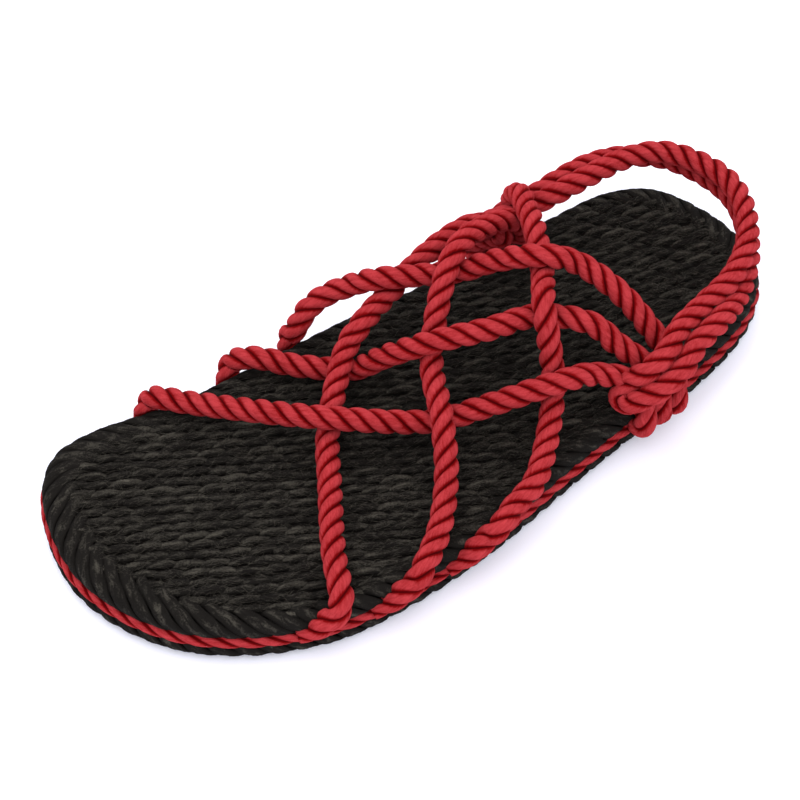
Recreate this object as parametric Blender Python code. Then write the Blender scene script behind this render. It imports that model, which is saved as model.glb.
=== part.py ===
"""Rope sandal for the left foot, in metres, +X to the toe, +Y to the outer side, +Z up.

Two black rope mats lie one on the other, with a red cord round the groove between their edges.
Six red rope straps rise from that cord, three from each side, cross over and under each other
on top of the foot, and run down to the sole again beside the heel. A doubled rope goes round
the back of the heel and hooks round the three straps on each side.
The origin is on the floor, halfway along the sole.
"""
import bpy
import bmesh
from collections import namedtuple
from math import cos, hypot, pi, radians, sin
from mathutils import Vector

# Driving sizes, in metres.
SOLE_LENGTH = 0.2735
BALL_WIDTH = 0.106
HEEL_WIDTH = 0.0835
BOTTOM_MAT = 0.0085
TOP_MAT = 0.0088
MAT_EDGE = 0.0045
LOBE_PITCH = 0.0089
LOBE_DEPTH = 0.0007
CORD_D = 0.005
CORD_INSET = 0.0016
ROPE_D = 0.0083
NET_RISE = 0.038
BUMP_BULGE = 0.0045
GAP = 0.0003
BITE = 0.0006

# Sizes that follow from those.
ROPE_R = ROPE_D / 2
CORD_R = CORD_D / 2
FOOTBED = BOTTOM_MAT + GAP + TOP_MAT
CORD_Z = BOTTOM_MAT + GAP / 2
LAP = ROPE_R - BITE / 2
SIDES = 8
FACET = cos(pi / SIDES)
LYING = FOOTBED + GAP + ROPE_R / FACET

# Places along the sole run from 0 at the heel end to 1 at the toe end. Places across it are
# shares of the sole's width there, plus to the outer side. A rise is a share of NET_RISE above
# a rope that lies on the footbed.
HEEL_STATION = 0.19
BALL_STATION = 0.67

Section = namedtuple("Section", "along outer inner")
TOE_TIP = (1.0, -0.052)
HEEL_TIP = (0.0, -0.02)
SECTIONS = [
    Section(0.016, 0.205, -0.274),
    Section(0.045, 0.310, -0.430),
    Section(0.100, 0.408, -0.516),
    Section(0.190, 0.489, -0.528),
    Section(0.300, 0.528, -0.492),
    Section(0.415, 0.546, -0.461),
    Section(0.490, 0.560, -0.451),
    Section(0.560, 0.570, -0.436),
    Section(0.670, 0.576, -0.421),
    Section(0.765, 0.564, -0.426),
    Section(0.820, 0.523, -0.452),
    Section(0.875, 0.456, -0.475),
    Section(0.930, 0.349, -0.461),
    Section(0.966, 0.229, -0.380),
    Section(0.990, 0.092, -0.238),
]

# Where an inner strap (first number) crosses an outer strap (second number), and which is on
# top there: over is 1 where the inner strap is, and -1 where the outer one is.
Crossing = namedtuple("Crossing", "along across rise over")
CROSSINGS = {
    (1, 1): Crossing(0.650, 0.0, 0.125, 1),
    (1, 2): Crossing(0.541, 0.199, 0.22, -1),
    (1, 3): Crossing(0.394, 0.355, 0.35, 1),
    (2, 1): Crossing(0.568, -0.194, 0.125, -1),
    (2, 2): Crossing(0.502, 0.016, 0.49, 1),
    (2, 3): Crossing(0.374, 0.157, 0.74, -1),
    (3, 1): Crossing(0.498, -0.315, 0.455, 1),
    (3, 2): Crossing(0.411, -0.208, 0.73, -1),
    (3, 3): Crossing(0.338, 0.020, 0.89, 1),
}

# Each strap starts at its root on one side, passes these places and crossings, meets the heel
# strap at its slot on the other side, and ends at the edge cord below that slot.
Place = namedtuple("Place", "along across rise")
Root = namedtuple("Root", "along lean bulge")
Strap = namedtuple("Strap", "root side route slot bump")
OUTER = 1
INNER = -1
STRAPS = {
    "inner_1": Strap(Root(0.790, 0.028, 0.0026), INNER, [
        Place(0.761, -0.342, 0.01), (1, 1), (1, 2), Place(0.487, 0.257, 0.25), (1, 3),
        Place(0.350, 0.412, 0.34)], Place(0.298, 0.510, 0.13), 0.304),
    "inner_2": Strap(Root(0.672, 0.032, 0.0032), INNER, [
        Place(0.656, -0.388, 0.01), Place(0.622, -0.295, 0.0), (2, 1), Place(0.544, -0.090, 0.31),
        (2, 2), Place(0.441, 0.096, 0.66), (2, 3), Place(0.325, 0.284, 0.60),
        Place(0.305, 0.372, 0.43)], Place(0.270, 0.510, 0.13), 0.276),
    "inner_3": Strap(Root(0.588, 0.018, 0.0026), INNER, [
        Place(0.570, -0.438, 0.17), Place(0.549, -0.428, 0.29), Place(0.518, -0.395, 0.40),
        (3, 1), (3, 2), Place(0.378, -0.117, 0.80), (3, 3), Place(0.300, 0.088, 0.86),
        Place(0.272, 0.235, 0.68), Place(0.255, 0.358, 0.45)], Place(0.242, 0.510, 0.13), 0.248),
    "outer_1": Strap(Root(0.774, 0.050, 0.0004), OUTER, [
        Place(0.744, 0.393, 0.0), Place(0.690, 0.163, 0.0), (1, 1), (2, 1),
        Place(0.540, -0.245, 0.33), (3, 1), Place(0.400, -0.374, 0.54),
        Place(0.335, -0.405, 0.52)], Place(0.297, -0.395, 0.24), 0.303),
    "outer_2": Strap(Root(0.668, 0.066, 0.0015), OUTER, [
        Place(0.622, 0.503, 0.02), Place(0.575, 0.372, 0.14), (1, 2), (2, 2), (3, 2),
        Place(0.335, -0.310, 0.72), Place(0.292, -0.335, 0.54)], Place(0.268, -0.380, 0.20), 0.275),
    "outer_3": Strap(Root(0.560, 0.066, 0.0022), OUTER, [
        Place(0.525, 0.580, 0.01), Place(0.492, 0.565, 0.05), Place(0.440, 0.464, 0.12), (1, 3),
        (2, 3), (3, 3), Place(0.305, -0.175, 0.82), Place(0.284, -0.320, 0.73),
        Place(0.272, -0.400, 0.67)], Place(0.262, -0.490, 0.45), 0.248),
}
# The heel strap is one rope laid double. These rows carry its first run. Its second run lies
# against that, turned from straight out (0) towards straight down (90) by turn degrees, and the
# rope turns back on itself past the last row at each end.
Wrap = namedtuple("Wrap", "along across rise turn")
HEEL_ROUTE = [
    Wrap(0.313, 0.500, 0.25, 50),
    Wrap(0.303, 0.530, 0.34, 45),
    Wrap(0.290, 0.545, 0.41, 35),
    Wrap(0.266, 0.536, 0.455, 26),
    Wrap(0.235, 0.490, 0.50, 15),
    Wrap(0.190, 0.455, 0.53, 10),
    Wrap(0.126, 0.402, 0.575, 65),
    Wrap(0.072, 0.279, 0.61, 80),
    Wrap(0.037, 0.078, 0.64, 80),
    Wrap(0.036, -0.078, 0.65, 75),
    Wrap(0.067, -0.284, 0.64, 60),
    Wrap(0.111, -0.354, 0.62, 42),
    Wrap(0.159, -0.368, 0.60, 25),
    Wrap(0.202, -0.378, 0.555, 25),
    Wrap(0.235, -0.395, 0.49, 30),
    Wrap(0.262, -0.422, 0.42, 38),
    Wrap(0.287, -0.448, 0.35, 45),
    Wrap(0.305, -0.458, 0.29, 50),
]

# A mat's edge, from the top down: how far in from the outline, as shares of MAT_EDGE, how far
# down its own rounding, and how much of the lobes it carries.
Rim = namedtuple("Rim", "inset level lobes")
MAT_RIM = [
    Rim(1.0, 1.0, 0.3),
    Rim(0.42, 0.93, 0.7),
    Rim(0.10, 0.68, 1.0),
    Rim(0.0, 0.36, 1.0),
    Rim(0.12, 0.06, 1.0),
]

# How the points of a route are read from its curve.
STEPS = 12
STRAP_STEP = 0.0076
NOTCH_POINTS = 6
HEEL_STEP = 0.0085


def smooth(t):
    """A soft step from 0 to 1."""
    t = min(max(t, 0.0), 1.0)
    return t * t * (3 - 2 * t)


def width_at(along):
    """The sole's width, from the heel's to the ball's."""
    share = smooth((along - HEEL_STATION) / (BALL_STATION - HEEL_STATION))
    return HEEL_WIDTH + (BALL_WIDTH - HEEL_WIDTH) * share


def plan(along, across):
    """A place on the sole as X and Y."""
    return Vector(((along - 0.5) * SOLE_LENGTH, across * width_at(along)))


def curve_through(points, closed=False):
    """A smooth curve through the points, as a dense list of points."""
    count = len(points)
    dense = []
    for i in range(count if closed else count - 1):
        if closed:
            a, b, c, d = (points[(i + k) % count] for k in (-1, 0, 1, 2))
        else:
            b, c = points[i], points[i + 1]
            a = points[i - 1] if i > 0 else b * 2 - c
            d = points[i + 2] if i + 2 < count else c * 2 - b
        spans = [max((q - p).length, 1e-6) ** 0.5 for p, q in ((a, b), (b, c), (c, d))]
        leave = ((b - a) / spans[0] - (c - a) / (spans[0] + spans[1]) + (c - b) / spans[1]) * spans[1]
        reach = ((c - b) / spans[1] - (d - b) / (spans[1] + spans[2]) + (d - c) / spans[2]) * spans[1]
        for k in range(STEPS):
            t = k / STEPS
            dense.append(b * (2 * t ** 3 - 3 * t ** 2 + 1) + leave * (t ** 3 - 2 * t ** 2 + t)
                         + c * (3 * t ** 2 - 2 * t ** 3) + reach * (t ** 3 - t ** 2))
    if not closed:
        dense.append(points[-1].copy())
    return dense


def even(points, count, closed=False):
    """The same curve read at evenly spaced points."""
    path = points + [points[0]] if closed else points
    reach = [0.0]
    for a, b in zip(path, path[1:]):
        reach.append(reach[-1] + (b - a).length)
    picked = []
    j = 0
    for i in range(count):
        goal = reach[-1] * i / (count if closed else count - 1)
        while j < len(reach) - 2 and reach[j + 1] < goal:
            j += 1
        share = (goal - reach[j]) / (reach[j + 1] - reach[j])
        picked.append(path[j].lerp(path[j + 1], share))
    return picked


def length_of(points):
    """The length along a list of points."""
    return sum((b - a).length for a, b in zip(points, points[1:]))


def read_every(points, step):
    """A route's curve with a point about every step."""
    dense = curve_through(points)
    return even(dense, max(4, round(length_of(dense) / step) + 1))


def outline():
    """The sole's outline, anticlockwise from the heel's tip along the inner side."""
    points = [plan(*HEEL_TIP)]
    points += [plan(row.along, row.inner) for row in SECTIONS]
    points.append(plan(*TOE_TIP))
    points += [plan(row.along, row.outer) for row in reversed(SECTIONS)]
    dense = curve_through(points, closed=True)
    round_it = length_of(dense + dense[:1])
    lobes = round(round_it / LOBE_PITCH)
    return even(dense, lobes * 2, closed=True)


def outward(ring, i):
    """The direction straight out of the outline at its point i."""
    along = ring[(i + 1) % len(ring)] - ring[i - 1]
    return Vector((along.y, -along.x)).normalized()


OUTLINE = outline()
NORMALS = [outward(OUTLINE, i) for i in range(len(OUTLINE))]


def edge_at(along, side):
    """The outline's point at a place along the sole, and the direction out of it."""
    x = plan(along, 0.0).x
    best = None
    for i, a in enumerate(OUTLINE):
        b = OUTLINE[(i + 1) % len(OUTLINE)]
        if (a.x - x) * (b.x - x) <= 0 and a.x != b.x and (a.y + b.y) * side > 0:
            share = (x - a.x) / (b.x - a.x)
            best = a.lerp(b, share), NORMALS[i].lerp(NORMALS[(i + 1) % len(OUTLINE)], share)
    return best[0], best[1].normalized()


def beside(along, side, out, z):
    """A point out from the sole's edge by out, at height z."""
    point, direction = edge_at(along, side)
    point = point + direction * out
    return Vector((point.x, point.y, z))


def above(along, across, rise):
    """A rope's centre over the footbed."""
    point = plan(along, across)
    return Vector((point.x, point.y, LYING + rise * NET_RISE))


def crossing_point(key, inner):
    """The centre of the inner or outer strap where two straps cross."""
    row = CROSSINGS[key]
    middle = above(row.along, row.across, row.rise)
    normal = Vector((0.0, middle.y, middle.z)).normalized()
    lift = LAP * row.over * (1 if inner else -1)
    point = middle + normal * lift
    point.z = max(point.z, LYING)
    return point


# Where a strap's root passes the top mat's shoulder, and the rows of its rise: shares of its
# lean and bulge, and a distance out from the sole's edge and a height of its own.
SHOULDER_Z = FOOTBED - MAT_EDGE * 0.5
Rise = namedtuple("Rise", "lean bulge out z")


def root_points(root, side):
    """A strap's root. It comes out of the groove beside the edge cord, leaning back from the
    toe, and turns in over the mat."""
    rows = [
        Rise(1.0, 0.0, -CORD_INSET / 2, CORD_Z + CORD_R * 0.3),
        Rise(0.66, 0.3, 0.0, CORD_Z + CORD_R * 1.3),
        Rise(0.40, 0.8, 0.0, SHOULDER_Z),
        Rise(0.18, 1.0, 0.0, FOOTBED + ROPE_R * 0.25),
        Rise(0.0, 1.0, -ROPE_R / 2, FOOTBED + ROPE_R * 0.9),
    ]
    return [beside(root.along + root.lean * row.lean, side, root.bulge * row.bulge + row.out, row.z)
            for row in rows]


def slot_points(slot, bump, side):
    """A strap's other end, which bulges out past the sole's edge and ends at the edge cord."""
    return [
        above(*slot),
        beside(bump, side, BUMP_BULGE * 0.8, FOOTBED + ROPE_R * 0.35),
        beside(bump, side, BUMP_BULGE, CORD_Z + ROPE_R),
        beside(bump, side, CORD_R * 0.5, CORD_Z + CORD_R * 0.7),
    ]


def strap_route(name):
    """The points of a strap, from its root to its other end."""
    strap = STRAPS[name]
    inner = strap.side == INNER
    points = root_points(strap.root, strap.side)
    for stop in strap.route:
        if isinstance(stop, Place):
            points.append(above(*stop))
        else:
            points.append(crossing_point(stop, inner))
    return points + slot_points(strap.slot, strap.bump, -strap.side)


def strap_radii(path):
    """The rope's radius along a strap. It shrinks to the edge cord's where its root sinks in."""
    radii = []
    for i, point in enumerate(path):
        share = (point.z - CORD_Z) / (SHOULDER_Z - CORD_Z) if i < len(path) / 2 else 1.0
        radii.append(CORD_R + (ROPE_R - CORD_R) * min(max(share, 0.0), 1.0))
    return radii


def heel_ropes():
    """The points of the heel strap's two runs. The first one turns back into the second."""
    run = [above(row.along, row.across, row.rise) for row in HEEL_ROUTE]
    last = len(run) - 1
    middle = plan(HEEL_STATION, 0.0)
    second = []
    for i, row in enumerate(HEEL_ROUTE):
        along = run[min(i + 1, last)] - run[max(i - 1, 0)]
        out = Vector((along.y, -along.x, 0.0)).normalized()
        if out.x * (run[i].x - middle.x) + out.y * (run[i].y - middle.y) < 0:
            out = -out
        angle = radians(row.turn)
        second.append(run[i] + (out * cos(angle) - Vector((0, 0, 1)) * sin(angle)) * LAP * 2)
    turns = []
    for end, before in ((0, 1), (last, last - 1)):
        ahead = (run[end] - run[before]).normalized()
        turns.append([(run[end] + second[end]) / 2 + ahead * LAP, second[end] + ahead * BITE])
    return turns[0][::-1] + run + turns[1], second


def material(name, colour, roughness):
    """A plain material with its colour and roughness."""
    made = bpy.data.materials.new(name)
    made.use_nodes = True
    shader = made.node_tree.nodes["Principled BSDF"]
    shader.inputs["Base Color"].default_value = (*colour, 1.0)
    shader.inputs["Roughness"].default_value = roughness
    shader.inputs["Metallic"].default_value = 0.0
    return made


def collection(name):
    """A new collection in the scene."""
    made = bpy.data.collections.new(name)
    bpy.context.scene.collection.children.link(made)
    return made


def rope(name, points, radii, group, closed=False, rounding=2):
    """A tube of rope through the points, with a radius at each, as a closed mesh."""
    data = bpy.data.curves.new(name, "CURVE")
    data.dimensions = "3D"
    data.bevel_depth = 1.0
    data.bevel_resolution = rounding
    data.use_fill_caps = True
    spline = data.splines.new("POLY")
    spline.points.add(len(points) - 1)
    for knot, point, radius in zip(spline.points, points, radii):
        knot.co = (*point, 1.0)
        knot.radius = radius
    spline.use_cyclic_u = closed
    guide = bpy.data.objects.new(name + "_guide", data)
    group.objects.link(guide)
    bpy.context.view_layer.update()
    evaluated = guide.evaluated_get(bpy.context.evaluated_depsgraph_get())
    mesh = bpy.data.meshes.new_from_object(evaluated)
    made = bpy.data.objects.new(name, mesh)
    made.matrix_world = guide.matrix_world
    group.objects.link(made)
    bpy.data.objects.remove(guide)
    shell = bmesh.new()
    shell.from_mesh(mesh)
    bmesh.ops.remove_doubles(shell, verts=shell.verts, dist=1e-6)
    bmesh.ops.recalc_face_normals(shell, faces=shell.faces)
    shell.to_mesh(mesh)
    shell.free()
    mesh.name = name
    return made


def helper(piece):
    """Marks a piece as one that only cuts or joins another."""
    piece.hide_render = True
    piece.display_type = "WIRE"
    return piece


def combine(piece, other, operation):
    """Joins or cuts a piece with a helper."""
    step = piece.modifiers.new(operation.lower() + "_" + other.name, "BOOLEAN")
    step.operation = operation
    step.object = other
    step.solver = "EXACT"


def finish(piece, made, angle=40):
    """Gives a piece its material and smooth shading."""
    piece.data.materials.clear()
    piece.data.materials.append(made)
    piece.data.shade_smooth()
    piece.data.set_sharp_from_angle(angle=radians(angle))


def rim_levels(low, high, upper):
    """A mat's edge from its top face to its under face, with a cove for the edge cord."""
    cove = (CORD_R + GAP) / cos(pi / 8)
    rows = []
    free = high - (CORD_Z + cove) if upper else (CORD_Z - cove) - low
    for rim in MAT_RIM:
        level = CORD_Z + cove + free * rim.level if upper else low + free * (1 - rim.level)
        rows.append((MAT_EDGE * rim.inset, level, rim.lobes))
    for angle in (90, 45):
        turn = radians(angle)
        rise = sin(turn) * cove
        rows.append((CORD_INSET + cos(turn) * cove, CORD_Z + (rise if upper else -rise), 0.0))
    face = low if upper else high
    rows.append((CORD_INSET + cove, face, 0.0))
    return rows


def mat(name, low, high, upper, group, room=0.0):
    """A rope mat: the sole's outline lofted through the rows of its edge. With room, the space
    that it needs."""
    shell = bmesh.new()
    rings = []
    for inset, level, lobes in rim_levels(low, high, upper):
        ring = []
        for i, (point, direction) in enumerate(zip(OUTLINE, NORMALS)):
            dip = LOBE_DEPTH * lobes * (i % 2) - room
            place = point - direction * (inset + dip)
            ring.append(shell.verts.new((place.x, place.y, level)))
        rings.append(ring)
    for above_ring, below_ring in zip(rings, rings[1:]):
        for i in range(len(OUTLINE)):
            j = (i + 1) % len(OUTLINE)
            shell.faces.new((above_ring[i], above_ring[j], below_ring[j], below_ring[i]))
    shell.faces.new(rings[0])
    shell.faces.new(rings[-1])
    bmesh.ops.recalc_face_normals(shell, faces=shell.faces)
    mesh = bpy.data.meshes.new(name)
    shell.to_mesh(mesh)
    shell.free()
    made = bpy.data.objects.new(name, mesh)
    group.objects.link(made)
    return made


def edge_cord(name, radius, group, rounding):
    """The cord that runs round the sole between the mats."""
    path = []
    for point, direction in zip(OUTLINE, NORMALS):
        place = point - direction * CORD_INSET
        path.append(Vector((place.x, place.y, CORD_Z)))
    return rope(name, path, [radius] * len(path), group, closed=True, rounding=rounding)


def build():
    """Builds the sandal."""
    for old in list(bpy.data.objects):
        bpy.data.objects.remove(old)
    sandal = collection("rope_sandal")
    helpers = collection("cutters")
    red_rope = material("red_rope", (0.46, 0.018, 0.027), 0.85)
    black_rope = material("black_rope", (0.012, 0.011, 0.010), 0.9)

    bottom = mat("bottom_mat", 0.0, BOTTOM_MAT, False, sandal)
    top = mat("top_mat", BOTTOM_MAT + GAP, FOOTBED, True, sandal)
    cord = edge_cord("edge_cord", CORD_R, sandal, 1)

    net = None
    for name in STRAPS:
        path = read_every(strap_route(name), STRAP_STEP)
        radii = strap_radii(path)
        if net is None:
            net = rope("strap_net", path, radii, sandal)
        else:
            combine(net, helper(rope("strap_" + name, path, radii, helpers)), "UNION")
        wide = [(radius + GAP) / FACET for radius in radii]
        ends = {"root": list(zip(path, wide)), "slot": list(zip(path, wide))[::-1]}
        for end, rows in ends.items():
            low = []
            for point, radius in rows:
                if point.z > LYING + ROPE_R:
                    break
                low.append((point, radius))
            low = low[:NOTCH_POINTS]
            notch = rope("notch_" + name + "_" + end, [p for p, _ in low], [r for _, r in low], helpers)
            combine(top, helper(notch), "DIFFERENCE")

    first, second = heel_ropes()
    first = read_every(first, HEEL_STEP)
    second = read_every(second, HEEL_STEP)
    heel = rope("heel_strap", first, [ROPE_R] * len(first), sandal)
    combine(heel, helper(rope("heel_second", second, [ROPE_R] * len(second), helpers)), "UNION")

    rooms = [edge_cord("cord_room", (CORD_R + GAP) / cos(pi / 6), helpers, 1)]
    rooms.append(mat("bottom_mat_room", -GAP, BOTTOM_MAT, False, helpers, GAP))
    for name, path in {"heel_room_1": first, "heel_room_2": second}.items():
        rooms.append(rope(name, path, [(ROPE_R + GAP) / FACET] * len(path), helpers))
    for room in rooms:
        combine(net, helper(room), "DIFFERENCE")

    finish(bottom, black_rope)
    finish(top, black_rope)
    finish(cord, red_rope, 70)
    finish(net, red_rope, 70)
    finish(heel, red_rope, 70)


build()
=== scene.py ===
"""Looks of the rope sandal: laid ropes, woven mats, floor, light and camera.

Lengths are in metres, +X to the toe, +Y to the outer side of the left foot, +Z up.
The routes of the ropes and the sole's outline are the ones that the CAD parts follow.
"""

import bpy
import numpy as np
from collections import namedtuple
from math import cos, pi, radians, sin, sqrt
from mathutils import Matrix, Vector


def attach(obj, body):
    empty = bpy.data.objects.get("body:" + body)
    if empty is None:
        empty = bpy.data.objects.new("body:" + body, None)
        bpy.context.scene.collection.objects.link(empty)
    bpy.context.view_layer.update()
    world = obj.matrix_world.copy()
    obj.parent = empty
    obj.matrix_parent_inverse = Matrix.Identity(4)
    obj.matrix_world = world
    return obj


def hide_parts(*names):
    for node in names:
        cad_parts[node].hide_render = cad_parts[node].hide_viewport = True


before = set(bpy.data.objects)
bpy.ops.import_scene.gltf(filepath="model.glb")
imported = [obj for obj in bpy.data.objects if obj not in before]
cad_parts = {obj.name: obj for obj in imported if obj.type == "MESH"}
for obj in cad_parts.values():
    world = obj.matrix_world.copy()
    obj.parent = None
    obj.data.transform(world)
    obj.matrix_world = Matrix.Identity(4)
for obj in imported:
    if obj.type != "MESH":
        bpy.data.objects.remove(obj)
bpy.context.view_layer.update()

# Driving sizes of the part.
SOLE_LENGTH = 0.2735
BALL_WIDTH = 0.106
HEEL_WIDTH = 0.0835
BOTTOM_MAT = 0.0085
TOP_MAT = 0.0088
MAT_EDGE = 0.0045
CORD_D = 0.005
CORD_INSET = 0.0016
ROPE_D = 0.0083
NET_RISE = 0.038
BUMP_BULGE = 0.0045
GAP = 0.0003
BITE = 0.0006

ROPE_R = ROPE_D / 2
CORD_R = CORD_D / 2
FOOTBED = BOTTOM_MAT + GAP + TOP_MAT
CORD_Z = BOTTOM_MAT + GAP / 2
LAP = ROPE_R - BITE / 2
SIDES = 8
FACET = cos(pi / SIDES)
LYING = FOOTBED + GAP + ROPE_R / FACET

HEEL_STATION = 0.19
BALL_STATION = 0.67

Section = namedtuple("Section", "along outer inner")
TOE_TIP = (1.0, -0.052)
HEEL_TIP = (0.0, -0.02)
SECTIONS = [
    Section(0.016, 0.205, -0.274),
    Section(0.045, 0.310, -0.430),
    Section(0.100, 0.408, -0.516),
    Section(0.190, 0.489, -0.528),
    Section(0.300, 0.528, -0.492),
    Section(0.415, 0.546, -0.461),
    Section(0.490, 0.560, -0.451),
    Section(0.560, 0.570, -0.436),
    Section(0.670, 0.576, -0.421),
    Section(0.765, 0.564, -0.426),
    Section(0.820, 0.523, -0.452),
    Section(0.875, 0.456, -0.475),
    Section(0.930, 0.349, -0.461),
    Section(0.966, 0.229, -0.380),
    Section(0.990, 0.092, -0.238),
]

# Where an inner strap crosses an outer strap: over is 1 where the inner strap is on top.
Crossing = namedtuple("Crossing", "along across rise over")
CROSSINGS = {
    (1, 1): Crossing(0.650, 0.0, 0.125, 1),
    (1, 2): Crossing(0.541, 0.199, 0.22, -1),
    (1, 3): Crossing(0.394, 0.355, 0.35, 1),
    (2, 1): Crossing(0.568, -0.194, 0.125, -1),
    (2, 2): Crossing(0.502, 0.016, 0.49, 1),
    (2, 3): Crossing(0.374, 0.157, 0.74, -1),
    (3, 1): Crossing(0.498, -0.315, 0.455, 1),
    (3, 2): Crossing(0.411, -0.208, 0.73, -1),
    (3, 3): Crossing(0.338, 0.020, 0.89, 1),
}

Place = namedtuple("Place", "along across rise")
Root = namedtuple("Root", "along lean bulge over")
Strap = namedtuple("Strap", "root side route slot bump")
OUTER = 1
INNER = -1
STRAPS = {
    "inner_1": Strap(Root(0.790, 0.028, 0.0026, -0.0021), INNER, [
        Place(0.761, -0.342, 0.01), (1, 1), (1, 2), Place(0.487, 0.257, 0.25), (1, 3),
        Place(0.350, 0.412, 0.34)], Place(0.298, 0.510, 0.13), 0.304),
    "inner_2": Strap(Root(0.672, 0.032, 0.0032, -0.0021), INNER, [
        Place(0.656, -0.388, 0.01), Place(0.622, -0.295, 0.0), (2, 1), Place(0.544, -0.090, 0.31),
        (2, 2), Place(0.441, 0.096, 0.66), (2, 3), Place(0.325, 0.284, 0.60),
        Place(0.305, 0.372, 0.43)], Place(0.270, 0.510, 0.13), 0.276),
    "inner_3": Strap(Root(0.588, 0.018, 0.0026, -0.0015), INNER, [
        Place(0.570, -0.438, 0.17), Place(0.549, -0.428, 0.29), Place(0.518, -0.395, 0.40),
        (3, 1), (3, 2), Place(0.378, -0.117, 0.80), (3, 3), Place(0.300, 0.088, 0.86),
        Place(0.272, 0.235, 0.68), Place(0.255, 0.358, 0.45)], Place(0.242, 0.510, 0.13), 0.248),
    "outer_1": Strap(Root(0.774, 0.050, 0.0004, -0.0021), OUTER, [
        Place(0.744, 0.393, 0.0), Place(0.690, 0.163, 0.0), (1, 1), (2, 1),
        Place(0.540, -0.245, 0.33), (3, 1), Place(0.400, -0.374, 0.54),
        Place(0.335, -0.405, 0.52)], Place(0.297, -0.395, 0.24), 0.303),
    "outer_2": Strap(Root(0.668, 0.066, 0.0015, -0.0010), OUTER, [
        Place(0.622, 0.503, 0.02), Place(0.575, 0.372, 0.14), (1, 2), (2, 2), (3, 2),
        Place(0.335, -0.310, 0.72), Place(0.292, -0.335, 0.54)], Place(0.268, -0.380, 0.20), 0.275),
    "outer_3": Strap(Root(0.560, 0.066, 0.0022, 0.0010), OUTER, [
        Place(0.525, 0.580, 0.01), Place(0.492, 0.565, 0.05), Place(0.440, 0.464, 0.12), (1, 3),
        (2, 3), (3, 3), Place(0.305, -0.175, 0.82), Place(0.284, -0.320, 0.73),
        Place(0.272, -0.400, 0.67)], Place(0.262, -0.490, 0.45), 0.248),
}

Wrap = namedtuple("Wrap", "along across rise turn")
HEEL_ROUTE = [
    Wrap(0.313, 0.500, 0.25, 50),
    Wrap(0.303, 0.530, 0.34, 45),
    Wrap(0.290, 0.545, 0.41, 35),
    Wrap(0.266, 0.536, 0.455, 26),
    Wrap(0.235, 0.490, 0.50, 15),
    Wrap(0.190, 0.455, 0.53, 10),
    Wrap(0.126, 0.402, 0.575, 65),
    Wrap(0.072, 0.279, 0.61, 80),
    Wrap(0.037, 0.078, 0.64, 80),
    Wrap(0.036, -0.078, 0.65, 75),
    Wrap(0.067, -0.284, 0.64, 60),
    Wrap(0.111, -0.354, 0.62, 42),
    Wrap(0.159, -0.368, 0.60, 25),
    Wrap(0.202, -0.378, 0.555, 25),
    Wrap(0.235, -0.395, 0.49, 30),
    Wrap(0.262, -0.422, 0.42, 38),
    Wrap(0.287, -0.448, 0.35, 45),
    Wrap(0.305, -0.458, 0.29, 50),
]

# The ropes.
LAY = 0.0195            # length of one full turn of the straps' strands
CORD_LAY = 0.0246       # the same for the edge cord
GROOVE = 0.36           # depth of the grooves between strands, as a share of the rope's radius
GROOVE_POWER = 2.6      # how flat the strands are before the groove
SHADE_POWER = 5.0       # how narrow the painted shade line along each groove is
END_TONE = 0.5          # how pale a rope's cut end is on the map of painted light, from a groove's painted shade (0) to a crest (1)
ROPE_STEP = 0.0008      # between the rings of a rope's surface
CORD_STEP = 0.0009
CORD_SIDES = 18
STEPS = 12              # points read between two of a route's places
OUTLINE_STEPS = 900     # points along the sole's outline
TANGENT_SPAN = 3        # points before and after that give the outline's direction
SHORTEST = 1e-6         # least distance taken between two places of a route
ROOT_TAPER = 1.3        # how fast a root widens from the cord's radius to the rope's
NO_ROPE_WAY = (0.31, 0.17, 1.0)     # a direction that no rope starts along

# The floats, which are the stretches of woven cord that lie on a mat's face.
TOE_PERIOD = 0.0075     # from one float to the next in its row, towards the toe
HEEL_PERIOD = 0.0086    # the same at the heel, where every other row is set half a float on
TOE_WEAVE_X = 0.045
HEEL_WEAVE_X = -0.090
TOE_SLANT = radians(24)
HEEL_SLANT = radians(14)
FLOAT_ROWS = range(-12, 15)
FLOAT_PITCH = 0.00435   # between neighbouring rows
FLOAT_LENGTH = 0.0112
FLOAT_WIDE = 0.0035
FLOAT_THICK = 0.0028
FLOAT_DIP = 0.0014      # how much lower a float's ends lie than its middle
FLOAT_DIP_POWER = 2.4
FLOAT_NARROW = 0.40     # how much narrower its ends are, as a share
FLOAT_LAY = 0.013
FLOAT_GROOVE = 0.20
# How floats differ: in place, slant in radians, bow, depth, length, width and tone.
FLOAT_DRIFT = 0.0003
FLOAT_TURN = 0.04
FLOAT_BOW = 0.0002
FLOAT_SUNK = 0.0004
FLOAT_LENGTHS = (0.94, 1.06)
FLOAT_WIDTHS = (0.94, 1.05)
FLOAT_TONES = (0.75, 1.0)

# The loops that close a mat's edge.
RIM_SIDE = 0.0048       # how far they reach in over the mat at the sides
RIM_MORE_TOE = 0.0062   # how much further they reach at the toe
RIM_TOE_X = 0.075       # where that starts, and the length over which it grows
RIM_TOE_RUN = 0.05
RIM_MORE_HEEL = 0.0038
RIM_HEEL_X = -0.095
RIM_HEEL_RUN = 0.03
RIM_OVERLAP = 0.0028    # how far the floats reach out over the loops' inner ends
SIDE_INSET = 0.0037     # how far in from the edge the outermost floats' middles lie
LOOP_PITCH = 0.0083     # between loops
LOOP_WIDE = 0.0050
LOOP_THICK = 0.0024
LOOP_SLANT = 1.5        # how far a loop runs along the edge for each unit towards it
LOOP_LAY = 0.060        # the loops' own strands hardly turn
LOOP_GROOVE = 0.26
LOOP_TONE = 0.78        # how much painted light the loops get, less than the floats, so they look darker
LOOP_STEP = 0.0009
LOOP_FEWEST = 10        # rings of the shortest loop
LOOP_SHORTEST = 0.0008  # least run over the mat's face
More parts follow.
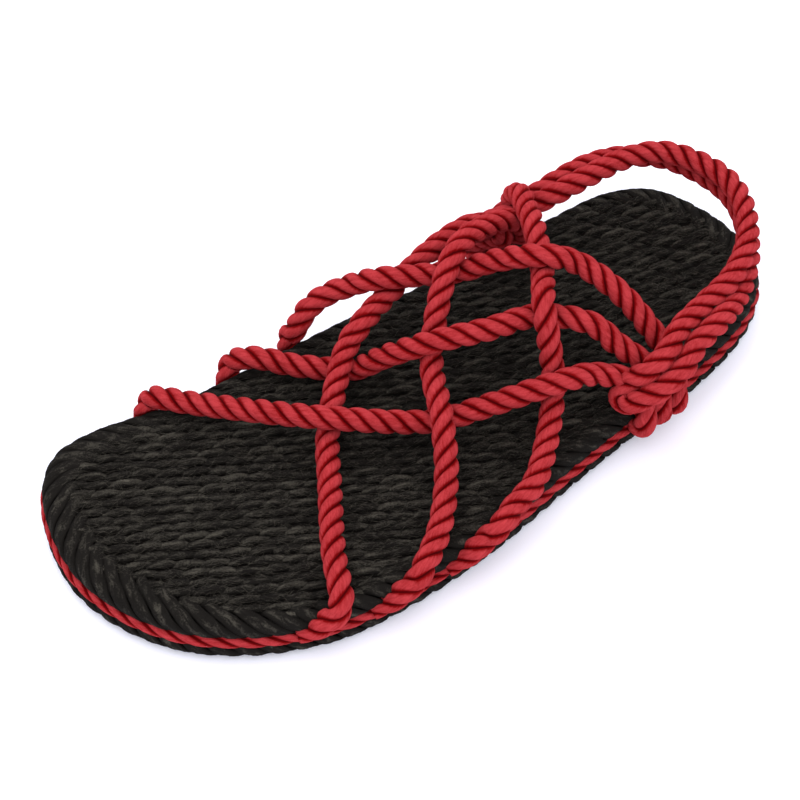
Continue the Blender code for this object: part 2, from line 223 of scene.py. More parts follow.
LOOP_END = 0.0022       # how far a loop's end goes down into the mat
LOOP_TAPER = 0.0045     # how far before its ends a loop starts to narrow
LOOP_NARROW = 0.6       # how much narrower its ends are, as a share
LOOP_TURN = 2.4         # how far each loop's strands are turned from the last one's, in radians
LOOP_SHIFT = 0.031      # how far its yarn pattern is moved along from the last one's
UNDER_RUN = 0.0035      # how far a loop runs on over the face that is out of sight
BOTTOM_PUSH = 0.0007    # how far the bottom mat's loops stand out past its solid

# The body under the floats, which shows between them in the painted shade of the grooves.
CORE_INSET = 0.0042
CORE_COVER = 0.0024     # how far it lies below a mat's outer face
CORE_BACK = 0.0008      # the same at the face between the mats
CORE_EVERY = 6          # it follows every sixth point of the outline

# Loose fibres. Real ones are about 0.02 mm thick, which is too fine to show, so these are wider.
FIBRE_COUNT = 22000
FIBRE_LENGTH = 0.0042   # the longest
FIBRE_SHORT = 0.4       # the shortest, as a share of the longest
FIBRE_WIDE = 0.00011
FIBRE_POINTED = 0.7     # how much narrower the ends are, as a share
FIBRE_DEPTH = 0.0007    # how deep between the cords the fibres lie
FIBRE_LEAST_DEPTH = 0.2
FIBRE_ARCH = 0.5        # how high a fibre's middle stands, as a share of that depth
FIBRE_TURN = 0.5        # how far fibres stray from the cords' slant, in radians
FIBRE_BOW = 0.25        # how bent they are, as a share of half their length
FIBRE_PLACES = (-1.0, -0.35, 0.35, 1.0)
# The fibres' level on the map of painted light, close to a lit crest's.
FIBRE_TONE = 0.95
FIBRE_RIM = 0.85        # how far in from the edge they start, as a share of the loops' reach


def smooth(t):
    """A soft step from 0 to 1."""
    t = np.clip(t, 0.0, 1.0)
    return t * t * (3 - 2 * t)


def width_at(along):
    """The sole's width, from the heel's to the ball's."""
    share = smooth((along - HEEL_STATION) / (BALL_STATION - HEEL_STATION))
    return HEEL_WIDTH + (BALL_WIDTH - HEEL_WIDTH) * share


def plan(along, across):
    """A place on the sole as X and Y."""
    return Vector(((along - 0.5) * SOLE_LENGTH, across * width_at(along)))


def curve_through(points, closed=False):
    """A smooth curve through the points, as a dense list of points."""
    count = len(points)
    dense = []
    for i in range(count if closed else count - 1):
        if closed:
            a, b, c, d = (points[(i + k) % count] for k in (-1, 0, 1, 2))
        else:
            b, c = points[i], points[i + 1]
            a = points[i - 1] if i > 0 else b * 2 - c
            d = points[i + 2] if i + 2 < count else c * 2 - b
        spans = [max((q - p).length, SHORTEST) ** 0.5 for p, q in ((a, b), (b, c), (c, d))]
        leave = ((b - a) / spans[0] - (c - a) / (spans[0] + spans[1]) + (c - b) / spans[1]) * spans[1]
        reach = ((c - b) / spans[1] - (d - b) / (spans[1] + spans[2]) + (d - c) / spans[2]) * spans[1]
        for k in range(STEPS):
            t = k / STEPS
            dense.append(b * (2 * t ** 3 - 3 * t ** 2 + 1) + leave * (t ** 3 - 2 * t ** 2 + t)
                         + c * (3 * t ** 2 - 2 * t ** 3) + reach * (t ** 3 - t ** 2))
    if not closed:
        dense.append(points[-1].copy())
    return dense


def even(points, count, closed=False):
    """The same curve read at evenly spaced points."""
    path = np.array([tuple(p) for p in points])
    if closed:
        path = np.vstack([path, path[:1]])
    reach = np.concatenate([[0.0], np.cumsum(np.linalg.norm(np.diff(path, axis=0), axis=1))])
    goals = reach[-1] * np.arange(count) / (count if closed else count - 1)
    return np.stack([np.interp(goals, reach, path[:, k]) for k in range(path.shape[1])], axis=1)


def length_of(points, closed=False):
    """The length along a list of points."""
    path = np.array([tuple(p) for p in points])
    if closed:
        path = np.vstack([path, path[:1]])
    return float(np.linalg.norm(np.diff(path, axis=0), axis=1).sum())


def outline_points():
    """The sole's outline, anticlockwise from the heel's tip along the inner side."""
    points = [plan(*HEEL_TIP)]
    points += [plan(row.along, row.inner) for row in SECTIONS]
    points.append(plan(*TOE_TIP))
    points += [plan(row.along, row.outer) for row in reversed(SECTIONS)]
    return curve_through(points, closed=True)


OUTLINE = even(outline_points(), OUTLINE_STEPS, closed=True)
AROUND = length_of(OUTLINE, closed=True)
FORWARD = np.roll(OUTLINE, -TANGENT_SPAN, axis=0) - np.roll(OUTLINE, TANGENT_SPAN, axis=0)
TANGENTS = FORWARD / np.linalg.norm(FORWARD, axis=1)[:, None]
NORMALS = np.stack([TANGENTS[:, 1], -TANGENTS[:, 0]], axis=1)


def on_outline(share):
    """The outline's point, outward direction and forward direction at shares of its length."""
    place = np.asarray(share) % 1.0 * len(OUTLINE)
    low = np.floor(place).astype(int) % len(OUTLINE)
    high = (low + 1) % len(OUTLINE)
    t = (place - np.floor(place))[..., None]
    point = OUTLINE[low] * (1 - t) + OUTLINE[high] * t
    out = NORMALS[low] * (1 - t) + NORMALS[high] * t
    out = out / np.linalg.norm(out, axis=-1, keepdims=True)
    return point, out, np.stack([-out[..., 1], out[..., 0]], axis=-1)


def edge_at(along, side):
    """The outline's point at a place along the sole, and the direction out of it."""
    x = plan(along, 0.0).x
    best = None
    for i in range(len(OUTLINE)):
        j = (i + 1) % len(OUTLINE)
        a, b = OUTLINE[i], OUTLINE[j]
        if (a[0] - x) * (b[0] - x) <= 0 and a[0] != b[0] and (a[1] + b[1]) * side > 0:
            share = (x - a[0]) / (b[0] - a[0])
            best = Vector(a).lerp(Vector(b), share), Vector(NORMALS[i])
    return best[0], best[1].normalized()


def beside(along, side, out, z):
    """A point out from the sole's edge by out, at height z."""
    point, direction = edge_at(along, side)
    point = point + direction * out
    return Vector((point.x, point.y, z))


def above(along, across, rise):
    """A rope's centre over the footbed."""
    point = plan(along, across)
    return Vector((point.x, point.y, LYING + rise * NET_RISE))


def crossing_point(key, inner):
    """The centre of the inner or outer strap where two straps cross."""
    row = CROSSINGS[key]
    middle = above(row.along, row.across, row.rise)
    normal = Vector((0.0, middle.y, middle.z)).normalized()
    lift = LAP * row.over * (1 if inner else -1)
    point = middle + normal * lift
    point.z = max(point.z, LYING)
    return point


# A strap's way up over the mat's edge, and down past it at its other end. Lean and bulge are
# shares of the strap's own, and out is a distance past the outline.
Rise = namedtuple("Rise", "lean bulge out z")
SHOULDER_Z = FOOTBED - MAT_EDGE * 0.5
UP_THE_EDGE = [
    Rise(1.0, 0.0, -CORD_INSET / 2, CORD_Z + CORD_R * 0.3),
    Rise(0.66, 0.3, 0.0, CORD_Z + CORD_R * 1.3),
    Rise(0.40, 0.8, 0.0, SHOULDER_Z),
    Rise(0.18, 1.0, 0.0, FOOTBED),
]
ROOT_TOP = FOOTBED + ROPE_R * 0.7
Fall = namedtuple("Fall", "bulge out z")
DOWN_THE_EDGE = [
    Fall(0.8, 0.0, FOOTBED + ROPE_R * 0.35),
    Fall(1.0, 0.0, CORD_Z + ROPE_R),
    Fall(0.0, CORD_R * 0.5, CORD_Z + CORD_R * 0.7),
]


def root_points(root, side):
    """A strap's root. It comes out of the groove beside the edge cord, leaning back from the
    toe, and turns in over the mat."""
    rows = UP_THE_EDGE + [Rise(0.0, 1.0, root.over, ROOT_TOP)]
    return [beside(root.along + root.lean * row.lean, side, root.bulge * row.bulge + row.out, row.z)
            for row in rows]


def slot_points(slot, bump, side):
    """A strap's other end, which bulges out past the sole's edge and ends at the edge cord."""
    return [above(*slot)] + [beside(bump, side, BUMP_BULGE * row.bulge + row.out, row.z)
                             for row in DOWN_THE_EDGE]


def strap_route(name):
    """The points of a strap, from its root to its other end."""
    strap = STRAPS[name]
    inner = strap.side == INNER
    points = root_points(strap.root, strap.side)
    for stop in strap.route:
        if isinstance(stop, Place):
            points.append(above(*stop))
        else:
            points.append(crossing_point(stop, inner))
    return points + slot_points(strap.slot, strap.bump, -strap.side)


def strap_radii(path):
    """The rope's radius along a strap. It shrinks to the edge cord's where its root sinks in."""
    share = np.clip(ROOT_TAPER * (path[:, 2] - CORD_Z) / (SHOULDER_Z - CORD_Z), 0.0, 1.0)
    share[len(path) // 2:] = 1.0
    return CORD_R + (ROPE_R - CORD_R) * share


def heel_loop():
    """The heel strap's rope as one closed loop: its first run, a turn, its second run, a turn."""
    run = [above(row.along, row.across, row.rise) for row in HEEL_ROUTE]
    last = len(run) - 1
    middle = plan(HEEL_STATION, 0.0)
    second = []
    for i, row in enumerate(HEEL_ROUTE):
        along = run[min(i + 1, last)] - run[max(i - 1, 0)]
        out = Vector((along.y, -along.x, 0.0)).normalized()
        if out.x * (run[i].x - middle.x) + out.y * (run[i].y - middle.y) < 0:
            out = -out
        angle = radians(row.turn)
        second.append(run[i] + (out * cos(angle) - Vector((0, 0, 1)) * sin(angle)) * LAP * 2)
    tips = []
    for end, before in ((0, 1), (last, last - 1)):
        ahead = (run[end] - run[before]).normalized()
        tips.append((run[end] + second[end]) / 2 + ahead * LAP)
    return run + [tips[1]] + second[::-1] + [tips[0]]


# Building surfaces.

def mesh_object(name, points, faces, corner_uv=None, painted_light_and_tone=None, smooth_faces=True):
    """A mesh object from points and faces, with a length and girth map in millimetres."""
    mesh = bpy.data.meshes.new(name)
    mesh.from_pydata(np.asarray(points).tolist(), [], faces)
    if corner_uv is not None:
        layer = mesh.uv_layers.new(name="rope_mm")
        layer.data.foreach_set("uv", corner_uv.astype(np.float32).ravel())
    if painted_light_and_tone is not None:
        # A level of painted light and shade for each point, with the floats' random tone folded in.
        shade = mesh.attributes.new("painted_light_and_tone", "FLOAT", "POINT")
        shade.data.foreach_set("value", painted_light_and_tone.astype(np.float32))
    mesh.polygons.foreach_set("use_smooth", [smooth_faces] * len(mesh.polygons))
    mesh.update()
    made = bpy.data.objects.new(name, mesh)
    bpy.context.scene.collection.objects.link(made)
    return made


def frames(path, closed=False, up=None):
    """Forward and two side directions along a path. Without up they don't twist."""
    if closed:
        ahead = np.roll(path, -1, axis=0) - np.roll(path, 1, axis=0)
    else:
        ahead = np.gradient(path, axis=0)
    ahead /= np.linalg.norm(ahead, axis=1)[:, None]
    side = np.zeros_like(path)
    if up is not None:
        side[:] = np.array(up)
        side -= ahead * (side * ahead).sum(axis=1)[:, None]
        side /= np.linalg.norm(side, axis=1)[:, None]
    else:
        start = np.cross(ahead[0], NO_ROPE_WAY)
        side[0] = start / np.linalg.norm(start)
        for i in range(1, len(path)):
            turned = side[i - 1] - ahead[i] * np.dot(side[i - 1], ahead[i])
            side[i] = turned / np.linalg.norm(turned)
    return ahead, side, np.cross(ahead, side)


class Surface:
    """Collects tubes into one mesh."""

    def __init__(self):
        self.points, self.faces, self.uv, self.painted_light_and_tone = [], [], [], []
        self.count = 0

    def tube(self, path, radius, lay, strands=3, around=30, depth=GROOVE, turn=0.0, closed=False,
             up=None, flat=1.0, offset=0.0, painted_light_on_one_side=False, shade=1.0):
        """A laid rope along the path. Its strands turn once in each lay, right-handed. Each point
        also gets a level of painted light: 1 on a strand's crest with a thin line of painted shade in
        the grooves, or painted light scaled by shade on one half of the girth, turning with the
        strands, and painted shade on the other half."""
        path = np.asarray(path)
        ahead, side, third = frames(path, closed, up)
        span = np.linalg.norm(np.diff(path, axis=0), axis=1)
        reach = np.concatenate([[0.0], np.cumsum(span)])
        total = reach[-1] + (np.linalg.norm(path[0] - path[-1]) if closed else 0.0)
        twist = 2 * pi / lay
        slip = 0.0
        if closed:
            if up is None:
                a, b = side[0], side[-1]
                slip = np.arctan2(np.dot(np.cross(b, a), ahead[0]), np.dot(a, b))
            turns = round(total * twist * strands / (2 * pi)) * 2 * pi / strands
            twist = (turns + slip) / total
        step = 2 * pi / around
        angle = np.arange(around) * step
        from_crown = np.abs((angle * strands / (2 * pi) + 0.5) % 1.0 - 0.5) * 2
        swell = 1 - depth * from_crown ** GROOVE_POWER
        theta = angle[None, :] + turn + twist * reach[:, None]
        size = swell[None, :] * (radius if np.ndim(radius) == 0 else np.asarray(radius)[:, None])
        ring = path[:, None, :] + size[..., None] * (
            np.cos(theta)[..., None] * side[:, None, :]
            + np.sin(theta)[..., None] * third[:, None, :] * flat)
        n = len(path)
        index = np.arange(n * around).reshape(n, around) + self.count
        rows = index
        marks = reach
        if closed:
            shift = int(round((twist * total - slip) / step)) % around
            rows = np.vstack([index, np.roll(index[:1], -shift, axis=1)])
            marks = np.append(reach, total)
        right = np.roll(rows, -1, axis=1)
        quads = np.stack([rows[:-1], right[:-1], right[1:], rows[1:]], axis=-1).reshape(-1, 4)
        self.faces += quads.tolist()
        girth = (angle[None, :] + turn + twist * marks[:, None]) * float(np.mean(radius)) * 1000
        further = girth + step * float(np.mean(radius)) * 1000
        along = np.repeat((marks + offset)[:, None], around, axis=1) * 1000
        corners = [(along[:-1], girth[:-1]), (along[:-1], further[:-1]), (along[1:], further[1:]),
                   (along[1:], girth[1:])]
        self.uv.append(np.stack([np.stack(pair, axis=-1) for pair in corners], axis=2).reshape(-1, 2))
        # Painted light and shade: one half of the girth is painted light and the other half painted shade;
        # otherwise a thin line of painted shade runs along each groove.
        if painted_light_on_one_side:
            self.painted_light_and_tone.append(np.sqrt(np.clip(np.cos(theta), 0.0, 1.0)).ravel() * shade)
        else:
            self.painted_light_and_tone.append(np.tile(1 - from_crown ** SHADE_POWER, n))
        self.points.append(ring.reshape(-1, 3))
        self.count += n * around
        if not closed:
            for row, mark in ((index[0][::-1], 0), (index[-1], -1)):
                self.points.append(path[mark][None, :])
                self.painted_light_and_tone.append(np.array([END_TONE]))
                tip = self.count
                self.count += 1
                self.faces += [[int(a), int(b), tip] for a, b in zip(row, np.roll(row, -1))]
                self.uv.append(np.tile([marks[mark] * 1000, girth[mark, 0]], (around * 3, 1)))

    def build(self, name):
        """The collected tubes as one object."""
        return mesh_object(name, np.vstack(self.points), self.faces, np.vstack(self.uv),
                           np.concatenate(self.painted_light_and_tone))


# Materials.

def linear(code):
    """A colour written as sRGB hex, as linear red, green, blue and alpha."""
    made = []
    for k in (0, 2, 4):
        value = int(code[k:k + 2], 16) / 255
        made.append(value / 12.92 if value <= 0.04045 else ((value + 0.055) / 1.055) ** 2.4)
    return (*made, 1.0)


def node(tree, kind, inputs=None, links=None, stops=(), **settings):
    """Adds a node with its settings, input values and links, and a colour ramp's stops."""
    made = tree.nodes.new(kind)
    for key, value in settings.items():
        setattr(made, key, value)
    for key, value in (inputs or {}).items():
        made.inputs[key].default_value = value
    for key, source in (links or {}).items():
        tree.links.new(source, made.inputs[key])
    for k, (place, colour) in enumerate(stops):
        stop = made.color_ramp.elements[k] if k < 2 else made.color_ramp.elements.new(place)
        stop.position = place
        stop.color = colour
    return made


STREAKS_PER_YARN = 0.85     # streaks of fibre side by side in one yarn's width
STREAK_STRETCH = 0.22       # streaks are about four and a half times as long as wide
STREAK_LEAN = 0.30          # they lean in radians from the rope's own direction, as the yarn turns
FUZZ_PER_YARN = 2.2         # specks of fuzz in one yarn's width
FUZZ_SHARE = 0.35
PATCHES_PER_M = 110.0       # patches of paler and darker dye about 9 mm across
PATCH_SHARE = 0.30
YARN_ROUGHNESS = 0.9        # spun fibres scatter light every way and have next to no gloss
YARN_SPECULAR = 0.04


def yarn_material(name, shade_colour, body, lit_colour, yarn_mm, streak, relief):
    """Spun yarn laid into rope. Streaks of fibre run with the yarns, the grooves between the
    strands are darkened by painted shade, and painted light, broken up by the fibres, makes the crests
    paler.
    The map is in millimetres, so each pattern's scale comes from the yarn's width in millimetres."""
    made = bpy.data.materials.new(name)
    made.use_nodes = True
    tree = made.node_tree
    tree.nodes.clear()
    uv = node(tree, "ShaderNodeUVMap", uv_map="rope_mm")
    painted_light_and_tone = node(tree, "ShaderNodeAttribute", attribute_name="painted_light_and_tone")
    drawn = node(tree, "ShaderNodeMapping",
                 inputs={"Scale": (STREAK_STRETCH, 1.0, 1.0), "Rotation": (0, 0, STREAK_LEAN)},
                 links={"Vector": uv.outputs["UV"]})
    fibres = node(tree, "ShaderNodeTexNoise",
                  inputs={"Scale": STREAKS_PER_YARN / yarn_mm, "Detail": 7.0, "Roughness": 0.70,
                          "Distortion": 0.5},
                  links={"Vector": drawn.outputs["Vector"]})
    fuzz = node(tree, "ShaderNodeTexNoise",
                inputs={"Scale": FUZZ_PER_YARN / yarn_mm, "Detail": 3.0, "Roughness": 0.6},
                links={"Vector": uv.outputs["UV"]})
    height = node(tree, "ShaderNodeMath", operation="MULTIPLY_ADD", inputs={1: FUZZ_SHARE},
                  links={0: fuzz.outputs["Fac"], 2: fibres.outputs["Fac"]})
    where = node(tree, "ShaderNodeNewGeometry")
    patches = node(tree, "ShaderNodeTexNoise", inputs={"Scale": PATCHES_PER_M, "Detail": 3.0},
                   links={"Vector": where.outputs["Position"]})
    # Tone from the painted shade in the grooves (0) to the painted light on the crests (1), broken up by
    # the fibres.
    fibre_tone = node(tree, "ShaderNodeMapRange", inputs={"From Min": 0.42, "From Max": 0.93},
               links={"Value": height.outputs["Value"]})
    broken = node(tree, "ShaderNodeMix", data_type="FLOAT", inputs={"Factor": streak},
                  links={"A": painted_light_and_tone.outputs["Fac"], "B": fibre_tone.outputs["Result"]})
    shaded = node(tree, "ShaderNodeMath", operation="MULTIPLY",
                  links={0: broken.outputs["Result"], 1: painted_light_and_tone.outputs["Fac"]})
    tone = node(tree, "ShaderNodeMath", operation="MULTIPLY_ADD", inputs={1: PATCH_SHARE},
                links={0: patches.outputs["Fac"], 2: shaded.outputs["Value"]})
    share = node(tree, "ShaderNodeMapRange", inputs={"From Min": 0.15, "From Max": 1.0},
                 links={"Value": tone.outputs["Value"]})
    # The colours run from the painted shade colour to the painted light colour, broken by fibre streaks
    # and dye patches.
    dye_and_painted_light = node(tree, "ShaderNodeValToRGB", links={"Fac": share.outputs["Result"]},
               stops=[(0.0, linear(shade_colour)), (1.0, linear(lit_colour)), (0.5, linear(body))])
    bump = node(tree, "ShaderNodeBump", inputs={"Strength": 0.9, "Distance": relief},
                links={"Height": height.outputs["Value"]})
    shader = node(tree, "ShaderNodeBsdfPrincipled",
                  inputs={"Roughness": YARN_ROUGHNESS, "Metallic": 0.0,
                          "Specular IOR Level": YARN_SPECULAR},
                  links={"Base Color": dye_and_painted_light.outputs["Color"], "Normal": bump.outputs["Normal"]})
    node(tree, "ShaderNodeOutputMaterial", links={"Surface": shader.outputs["BSDF"]})
    return made


# Red dyed spun yarn. The strands look matt and even; the darkest colour is the painted shade in the
# grooves between them and the palest the painted light on their crests.
red_yarn = yarn_material("red_spun_yarn_laid_in_three_strands", "4C0205", "7E070A", "B73A3F",
                         yarn_mm=1.0, streak=0.50, relief=0.0010)
# Black dyed spun yarn. It looks dusty, because pale fibres stand out of the dark cord; its palest colour
# is also the painted light on the floats' and loops' lit sides.
black_yarn = yarn_material("black_spun_yarn_woven_cord", "12100E", "1B1917", "56524A",
                           yarn_mm=0.9, streak=0.75, relief=0.0010)


def dress(piece, made, node_name):
    """Gives a piece its material, the CAD node that it replaces and its body."""
    piece.data.materials.append(made)
    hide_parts(node_name)
    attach(piece, "root")


# The straps.
for name in STRAPS:
    dense = curve_through(strap_route(name))
    path = even(dense, round(length_of(dense) / ROPE_STEP))
    rope = Surface()
    rope.tube(path, strap_radii(path), LAY)
    dress(rope.build("strap_" + name), red_yarn, "strap_net")

dense = curve_through(heel_loop(), closed=True)
path = even(dense, round(length_of(dense, True) / ROPE_STEP), closed=True)
rope = Surface()
rope.tube(path, ROPE_R, LAY, closed=True)
dress(rope.build("heel_strap_rope"), red_yarn, "heel_strap")

# The edge cord, half sunk in the groove between the mats.
rings = round(AROUND / CORD_STEP)
point, out, forward = on_outline(np.arange(rings) / rings)
ring = np.column_stack([point - out * CORD_INSET, np.full(len(point), CORD_Z)])
rope = Surface()
rope.tube(ring, CORD_R, CORD_LAY, closed=True, up=(0, 0, 1), around=CORD_SIDES)
dress(rope.build("edge_cord_rope"), red_yarn, "edge_cord")


# The mats.
OUTLINE_SHARES = np.arange(OUTLINE_STEPS) / OUTLINE_STEPS


def rim_width(share):
    """How far the edge loops reach in over a mat: most at the toe, less at the heel and sides."""
    point = on_outline(share)[0]
    toe = smooth((point[..., 0] - RIM_TOE_X) / RIM_TOE_RUN)
    heel = smooth((RIM_HEEL_X - point[..., 0]) / RIM_HEEL_RUN)
    return RIM_SIDE + RIM_MORE_TOE * toe + RIM_MORE_HEEL * heel


def edge_loops(name, low, high, upper):
    """The slanting loops that close a mat's edge, each a flat cord that wraps round it."""
    count = round(AROUND / LOOP_PITCH)
    half = (high - low) / 2
    middle = (high + low) / 2
    turn_r = half - LOOP_THICK / 2
    push = 0.0 if upper else BOTTOM_PUSH
    made = Surface()
    for k in range(count):
        base = k / count
        over_run = max(float(rim_width(base)) - half, LOOP_SHORTEST)
        under_run = UNDER_RUN
        if not upper:
            over_run, under_run = under_run, over_run
        arc = turn_r * pi
        total = over_run + arc + under_run
        steps = max(LOOP_FEWEST, round(total * sqrt(1 + LOOP_SLANT ** 2) / LOOP_STEP))
        reach = np.linspace(-LOOP_END, total + LOOP_END, steps)
        bend = np.clip((reach - over_run) / turn_r, 0.0, pi)
        before = np.maximum(over_run - reach, 0.0)
        after = np.maximum(reach - over_run - arc, 0.0)
        inset = half - np.sin(bend) * (turn_r + push) + before + after
        sink = np.clip(-reach / LOOP_END, 0, 1) ** 2 + np.clip((reach - total) / LOOP_END, 0, 1) ** 2
        level = middle + np.cos(bend) * (turn_r - sink * LOOP_END)
        place = base + (reach - over_run - arc / 2) * LOOP_SLANT / AROUND
        point, out, forward = on_outline(place)
        path = np.column_stack([point - out * inset[:, None], level])
        normal = np.column_stack([out * np.sin(bend)[:, None], np.cos(bend)])
        ends = np.minimum(reach + LOOP_END, total + LOOP_END - reach) / LOOP_TAPER
        plump = LOOP_THICK / 2 * (1 - LOOP_NARROW * np.clip(1 - ends, 0, 1) ** 2)
        # Each loop gets painted light on one half of its girth and painted shade on the other.
        made.tube(path, plump, LOOP_LAY, around=15, depth=LOOP_GROOVE, turn=k * LOOP_TURN, up=normal,
                  flat=LOOP_WIDE / LOOP_THICK, offset=k * LOOP_SHIFT, painted_light_on_one_side=True, shade=LOOP_TONE)
    return made.build(name)


def inside_range(inset, y):
    """Where a line along the foot at y is inside the outline drawn in by inset."""
    a = OUTLINE - NORMALS * inset[:, None]
    b = np.roll(a, -1, axis=0)
    hit = (a[:, 1] - y) * (b[:, 1] - y) < 0
    if hit.sum() < 2:
        return None
    x = a[hit, 0] + (b[hit, 0] - a[hit, 0]) * (y - a[hit, 1]) / (b[hit, 1] - a[hit, 1])
    return x.min(), x.max()


def weave(name, face_z, facing, rings, around):
    """The floats of the woven cords. Each is the stretch of a cord that lies on top, and goes
    down between its neighbours at both ends."""
    made = Surface()
    inset = np.maximum(rim_width(OUTLINE_SHARES) - RIM_OVERLAP, SIDE_INSET)
    chance = np.random.default_rng(7)
    share = np.linspace(-1.0, 1.0, rings)
    for k in FLOAT_ROWS:
        y = (k + 0.5) * FLOAT_PITCH
        reach = inside_range(inset, y)
        if reach is None:
            continue
        place = TOE_WEAVE_X * 3
        while place > reach[0] - FLOAT_LENGTH:
            to_heel = smooth((TOE_WEAVE_X - place) / (TOE_WEAVE_X - HEEL_WEAVE_X))
            period = TOE_PERIOD + (HEEL_PERIOD - TOE_PERIOD) * to_heel
            place -= period
            x = place + period / 2 * (k % 2) * to_heel + chance.normal(0.0, FLOAT_DRIFT)
            if not reach[0] < x < reach[1]:
                continue
            slant = TOE_SLANT + (HEEL_SLANT - TOE_SLANT) * to_heel + chance.normal(0.0, FLOAT_TURN)
            half = FLOAT_LENGTH / 2 * chance.uniform(*FLOAT_LENGTHS)
            bow = chance.normal(0.0, FLOAT_BOW) * (1 - share ** 2)
            sink = FLOAT_DIP * np.abs(share) ** FLOAT_DIP_POWER + chance.uniform(0.0, FLOAT_SUNK)
            across = -np.sin(slant) * half * share + np.cos(slant) * bow
            path = np.column_stack([x + np.cos(slant) * half * share + np.sin(slant) * bow,
                                    y + chance.normal(0.0, FLOAT_DRIFT / 2) + across * facing,
                                    face_z - facing * (FLOAT_THICK / 2 + sink)])
            plump = FLOAT_THICK / 2 * (1 - FLOAT_NARROW * np.abs(share) ** 3)
            plump = plump * chance.uniform(*FLOAT_WIDTHS)
            # Each float gets painted light on one half of its girth and painted shade on the other, with a
            # random tone.
            made.tube(path, plump, FLOAT_LAY, strands=2, around=around, depth=FLOAT_GROOVE,
                      turn=chance.uniform(0, 6), up=(0, 0, facing), flat=FLOAT_WIDE / FLOAT_THICK,
                      offset=chance.uniform(0, 1), painted_light_on_one_side=True, shade=chance.uniform(*FLOAT_TONES))
    return made.build(name)


def fuzz(name, face_z):
    """Loose fibres that stand out of the footbed's cords, each a thin bent ribbon."""
    chance = np.random.default_rng(11)
    a = OUTLINE - NORMALS * (rim_width(OUTLINE_SHARES) * FIBRE_RIM)[:, None]
    b = np.roll(a, -1, axis=0)
    x = chance.uniform(a[:, 0].min(), a[:, 0].max(), FIBRE_COUNT)
    y = chance.uniform(a[:, 1].min(), a[:, 1].max(), FIBRE_COUNT)
    # A place is inside when the outline crosses the line from it along the foot an odd number of times.
    crossed = np.zeros(FIBRE_COUNT, dtype=int)
    for (ax, ay), (bx, by) in zip(a, b):
        if ay != by:
            crossed += ((ay > y) != (by > y)) & (x < (bx - ax) * (y - ay) / (by - ay) + ax)
    x, y = x[crossed % 2 == 1], y[crossed % 2 == 1]
    count = len(x)
    slant = -TOE_SLANT + chance.normal(0.0, FIBRE_TURN, count)
    half = chance.uniform(FIBRE_SHORT, 1.0, count) * FIBRE_LENGTH / 2
    bow = chance.normal(0.0, FIBRE_BOW, count) * half
    level = face_z - chance.uniform(FIBRE_LEAST_DEPTH, 1.0, count) * FIBRE_DEPTH
    rows = []
    for t in FIBRE_PLACES:
        for edge in (-0.5, 0.5):
            across = bow * (1 - t * t) + edge * FIBRE_WIDE * (1 - FIBRE_POINTED * abs(t))
            rows.append(np.column_stack([x + np.cos(slant) * half * t - np.sin(slant) * across,
                                         y + np.sin(slant) * half * t + np.cos(slant) * across,
                                         level + (1 - t * t) * FIBRE_DEPTH * FIBRE_ARCH]))
    points = np.stack(rows, axis=1).reshape(-1, 3)
    first = np.arange(count)[:, None] * len(rows)
    faces = np.concatenate([first + np.array([k, k + 1, k + 3, k + 2])
                            for k in range(0, len(rows) - 2, 2)])
    return mesh_object(name, points, faces.tolist(), points[faces.ravel()][:, :2] * 1000,
                       np.full(len(points), FIBRE_TONE))


def core(name, low, high):
    """The cross cords' body under the floats, as a plain slab that only shows in gaps. It has no
    map of painted light, so it takes the material's darkest colours, the painted shade of the grooves.
    """
    ring = OUTLINE[::CORE_EVERY] - NORMALS[::CORE_EVERY] * CORE_INSET
    n = len(ring)
    points = np.vstack([np.column_stack([ring, np.full(n, low)]),
                        np.column_stack([ring, np.full(n, high)])])
    faces = [[i, (i + 1) % n, n + (i + 1) % n, n + i] for i in range(n)]
    faces += [list(range(n))[::-1], list(range(n, 2 * n))]
    return mesh_object(name, points, faces, smooth_faces=False)


top_low = BOTTOM_MAT + GAP
TOP_PIECES = [
    weave("footbed_weave", FOOTBED, 1, rings=11, around=10),
    fuzz("footbed_fuzz", FOOTBED),
    edge_loops("top_mat_edge", top_low, FOOTBED, True),
    core("top_mat_core", top_low + CORE_BACK, FOOTBED - CORE_COVER),
]
BOTTOM_PIECES = [
    weave("underside_weave", 0.0, -1, rings=7, around=8),
    edge_loops("bottom_mat_edge", 0.0, BOTTOM_MAT, False),
    core("bottom_mat_core", CORE_COVER, BOTTOM_MAT - CORE_BACK),
]
for piece in TOP_PIECES:
    dress(piece, black_yarn, "top_mat")
for piece in BOTTOM_PIECES:
    dress(piece, black_yarn, "bottom_mat")


# Floor, light and camera.

def floor_material():
    """Matt white paper, smooth and plain, with a faint painted glow that softens its shadows."""
    made = bpy.data.materials.new("matt_white_paper_with_painted_glow")
    made.use_nodes = True
    shader = made.node_tree.nodes["Principled BSDF"]
    shader.inputs["Base Color"].default_value = linear("F4F5FF")
    shader.inputs["Roughness"].default_value = 0.9
    shader.inputs["Specular IOR Level"].default_value = 0.1
    # A faint painted glow that lifts the floor's shadows.
    shader.inputs["Emission Color"].default_value = linear("F0F2FF")
    shader.inputs["Emission Strength"].default_value = 0.14
    return made


FLOOR_SIZE = 6.0
FLOOR_DROP = 0.0002     # keeps the floor's face clear of the sole's
bpy.ops.mesh.primitive_plane_add(size=FLOOR_SIZE, location=(0, 0, -FLOOR_DROP))
floor = bpy.context.object
floor.name = "floor"
floor.data.materials.append(floor_material())


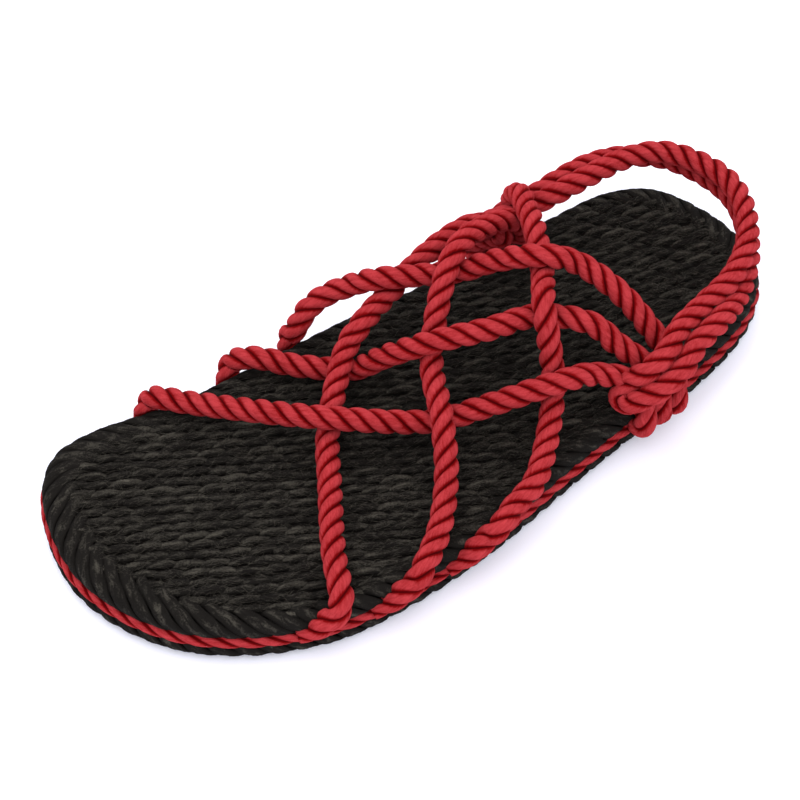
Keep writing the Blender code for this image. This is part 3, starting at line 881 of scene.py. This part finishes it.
def softbox(name, place, size, power, aim=(0.0, 0.0, 0.02)):
    """A square soft light that faces the shoe."""
    lamp = bpy.data.lights.new(name, "AREA")
    lamp.shape = "SQUARE"
    lamp.size = size
    lamp.energy = power
    made = bpy.data.objects.new(name, lamp)
    made.location = place
    made.rotation_euler = (Vector(aim) - Vector(place)).to_track_quat("-Z", "Y").to_euler()
    bpy.context.scene.collection.objects.link(made)


softbox("key_softbox", place=(0.1, -0.7, 1.2), size=1.1, power=3.6)
softbox("fill_softbox", place=(0.6, 0.6, 1.2), size=1.2, power=4.0)

# A white tent: brightest overhead, darker towards the horizon.
TENT_STOPS = [(0.0, (0.62, 0.62, 0.66, 1.0)), (1.0, (1.0, 1.0, 1.0, 1.0)), (0.55, (0.88, 0.88, 0.91, 1.0))]
TENT_STRENGTH = 1.55
world = bpy.data.worlds.new("white_tent")
world.use_nodes = True
sky = world.node_tree
ray = node(sky, "ShaderNodeTexCoord")
parts = node(sky, "ShaderNodeSeparateXYZ", links={"Vector": ray.outputs["Generated"]})
glow = node(sky, "ShaderNodeValToRGB", links={"Fac": parts.outputs["Z"]}, stops=TENT_STOPS)
sky.links.new(glow.outputs["Color"], sky.nodes["Background"].inputs["Color"])
sky.nodes["Background"].inputs["Strength"].default_value = TENT_STRENGTH
bpy.context.scene.world = world

# The camera stands where the photo's did, turned and zoomed in to frame the one shoe.
CAMERA_PLACE = Vector((0.32435, 0.42570, 0.65421))
CAMERA_AIM = Vector((0.00171, -0.01386, 0.0))
CAMERA_ROLL = 0.03198
PHOTO_LENS = 96.7       # in millimetres, for the photo of the whole pair
SENSOR = 36.0
FRAMING = 1.14
lens = bpy.data.cameras.new("camera")
lens.lens = PHOTO_LENS * FRAMING
lens.sensor_width = SENSOR
lens.sensor_fit = "HORIZONTAL"
camera = bpy.data.objects.new("camera", lens)
camera.location = CAMERA_PLACE
facing = (CAMERA_AIM - CAMERA_PLACE).to_track_quat("-Z", "Y").to_matrix().to_4x4()
camera.matrix_world = Matrix.Translation(CAMERA_PLACE) @ facing @ Matrix.Rotation(CAMERA_ROLL, 4, "Z")
bpy.context.scene.collection.objects.link(camera)
bpy.context.scene.camera = camera
bpy.context.scene.view_settings.view_transform = "Standard"
